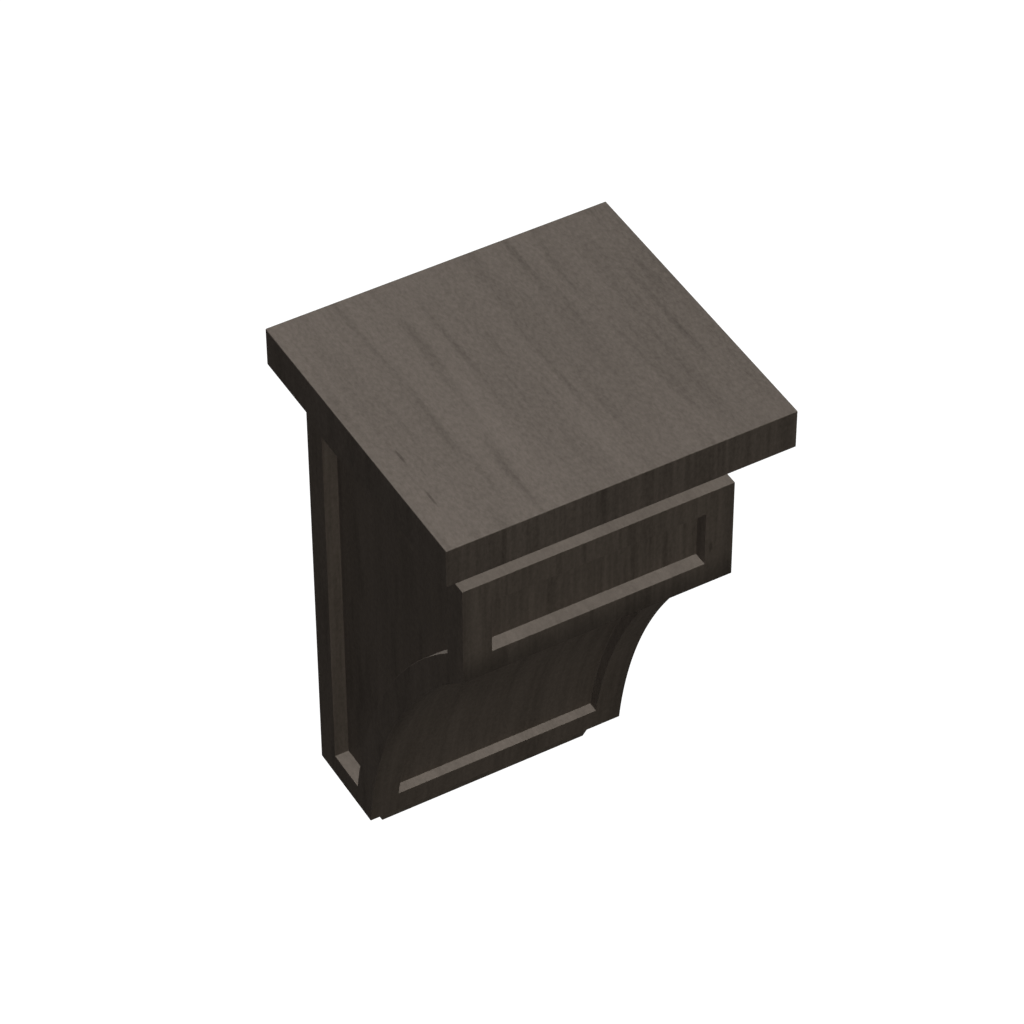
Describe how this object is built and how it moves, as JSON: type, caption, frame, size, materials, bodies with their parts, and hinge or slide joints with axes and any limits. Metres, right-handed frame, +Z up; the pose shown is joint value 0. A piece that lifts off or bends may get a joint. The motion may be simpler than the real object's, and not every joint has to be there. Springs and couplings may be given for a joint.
{
  "type": "recessed corbel",
  "caption": "Wall corbel of dark stained wood: an overhanging cap board on a panelled block that sweeps back in a cove to a tapered foot.",
  "frame": {"origin": "middle of the body's back face, where the corbel is fixed to its wall", "axes": "+Z up, +Y into the wall (out of the back face), -Y towards the front, +X to the right of someone facing the corbel"},
  "size_m": [0.1524, 0.1425, 0.2641],
  "materials": {
    "cap_wood": "dark grey-brown stain, satin lacquer",
    "body_wood": "dark grey-brown stain, satin lacquer",
    "foot_wood": "dark grey-brown stain, satin lacquer"
  },
  "bodies": {
    "root": {"cap": "cap_wood", "body": "body_wood", "foot": "foot_wood"}
  },
  "joints": []
}
